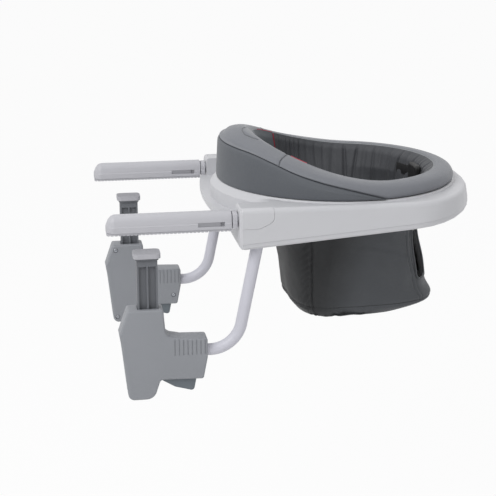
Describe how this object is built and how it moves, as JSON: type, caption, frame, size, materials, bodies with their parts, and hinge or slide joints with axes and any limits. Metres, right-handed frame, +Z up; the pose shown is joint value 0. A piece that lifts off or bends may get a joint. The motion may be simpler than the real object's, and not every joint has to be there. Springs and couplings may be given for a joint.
{
  "type": "hook-on table chair",
  "caption": "Baby seat with a turning padded ring and cloth bucket, hung on a table by two ribbed upper arms and two clamping lower arms.",
  "frame": {"origin": "on the table's top at its edge, midway between the two arms: a point on the flat underside of the rest lip", "axes": "+X away from the table, towards the seat; +Y to the right-hand arm of a child who faces the table; +Z up"},
  "size_m": [0.6202, 0.4276, 0.392],
  "materials": {
    "shell": "light grey moulded plastic, satin",
    "arm": "light grey plastic sleeve, satin",
    "sole": "light grey ribbed rubber",
    "pad": "grey rubber",
    "steel": "plain steel",
    "tube": "pale grey painted steel tube",
    "clamp": "mid grey moulded plastic",
    "trigger": "dark grey moulded plastic",
    "inner": "grey structural plastic",
    "rim": "mid grey coated cloth over foam",
    "band": "slate grey woven cloth over foam",
    "cloth": "dark grey woven cloth",
    "webbing": "black webbing",
    "buckle": "black moulded plastic"
  },
  "bodies": {
    "base": {"base_upper_shell": "shell", "base_lower_tray": "shell", "turn_race": "inner", "arm_sleeve_left": "arm", "arm_grip_sole_left": "sole", "arm_collar_left": "arm", "upper_arm_tube_left": "steel", "socket_block_left": "inner", "socket_cover_left": "shell", "leg_bush_left": "inner", "arm_sleeve_right": "arm", "arm_grip_sole_right": "sole", "arm_collar_right": "arm", "upper_arm_tube_right": "steel", "socket_block_right": "inner", "socket_cover_right": "shell", "leg_bush_right": "inner"},
    "turn_lock": {"turn_lock": "trigger"},
    "seat": {"seat_ring": "inner", "seat_keeper_ring": "inner", "bumper_frame": "inner", "bumper_rim": "rim", "bumper_side_band": "band", "seat_lining": "cloth", "seat_bag": "cloth", "seat_board": "inner", "crotch_strap": "webbing", "harness_buckle": "buckle", "waist_strap_left": "webbing", "waist_strap_right": "webbing"},
    "lower_arm_left": {"lower_arm_tube_left": "tube", "leg_cap_left": "steel", "clamp_outer_half_left": "clamp", "clamp_inner_half_left": "clamp", "clamp_screw_left_1": "steel", "clamp_screw_left_2": "steel", "clamp_screw_left_3": "steel", "trigger_pin_left": "steel", "cam_pin_left": "steel", "trigger_spring_left": "steel"},
    "jaw_left": {"clamp_jaw_left": "inner", "jaw_pad_left": "pad"},
    "trigger_left": {"clamp_trigger_left": "trigger"},
    "cam_left": {"brake_cam_left": "inner"},
    "lower_arm_right": {"lower_arm_tube_right": "tube", "leg_cap_right": "steel", "clamp_outer_half_right": "clamp", "clamp_inner_half_right": "clamp", "clamp_screw_right_1": "steel", "clamp_screw_right_2": "steel", "clamp_screw_right_3": "steel", "trigger_pin_right": "steel", "cam_pin_right": "steel", "trigger_spring_right": "steel"},
    "jaw_right": {"clamp_jaw_right": "inner", "jaw_pad_right": "pad"},
    "trigger_right": {"clamp_trigger_right": "trigger"},
    "cam_right": {"brake_cam_right": "inner"}
  },
  "joints": [
    {"name": "seat_turn", "type": "hinge", "parent": "base", "child": "seat", "pos_m": [0.2, 0, 0], "axis": [0, 0, 1], "continuous": true},
    {"name": "turn_lock_slide", "type": "slide", "parent": "base", "child": "turn_lock", "axis": [1, 0, 0], "range_m": [-0.008, 0]},
    {"name": "lower_arm_swivel_left", "type": "hinge", "parent": "base", "child": "lower_arm_left", "pos_m": [0.0407, -0.1855, 0], "axis": [0.1961, 0, 0.9806], "range_deg": [-70, 0]},
    {"name": "jaw_slide_left", "type": "slide", "parent": "lower_arm_left", "child": "jaw_left", "axis": [0, 0, 1], "range_m": [-0.055, 0.008]},
    {"name": "trigger_pivot_left", "type": "hinge", "parent": "lower_arm_left", "child": "trigger_left", "pos_m": [-0.116, -0.1855, -0.231], "axis": [0, -1, 0], "range_deg": [0, 10], "stiffness_Nm_per_rad": 0.3, "springref_deg": -5.73},
    {"name": "cam_pivot_left", "type": "hinge", "parent": "lower_arm_left", "child": "cam_left", "pos_m": [-0.1105, -0.1855, -0.19], "axis": [0, -1, 0], "range_deg": [-10, 0]},
    {"name": "lower_arm_swivel_right", "type": "hinge", "parent": "base", "child": "lower_arm_right", "pos_m": [0.0407, 0.1855, 0], "axis": [0.1961, 0, 0.9806], "range_deg": [0, 70]},
    {"name": "jaw_slide_right", "type": "slide", "parent": "lower_arm_right", "child": "jaw_right", "axis": [0, 0, 1], "range_m": [-0.055, 0.008]},
    {"name": "trigger_pivot_right", "type": "hinge", "parent": "lower_arm_right", "child": "trigger_right", "pos_m": [-0.116, 0.1855, -0.231], "axis": [0, -1, 0], "range_deg": [0, 10], "stiffness_Nm_per_rad": 0.3, "springref_deg": -5.73},
    {"name": "cam_pivot_right", "type": "hinge", "parent": "lower_arm_right", "child": "cam_right", "pos_m": [-0.1105, 0.1855, -0.19], "axis": [0, -1, 0], "range_deg": [-10, 0]}
  ],
  "couplings": [
    {"joint": "cam_pivot_left", "follows": "trigger_pivot_left", "ratio": -1},
    {"joint": "cam_pivot_right", "follows": "trigger_pivot_right", "ratio": -1}
  ]
}
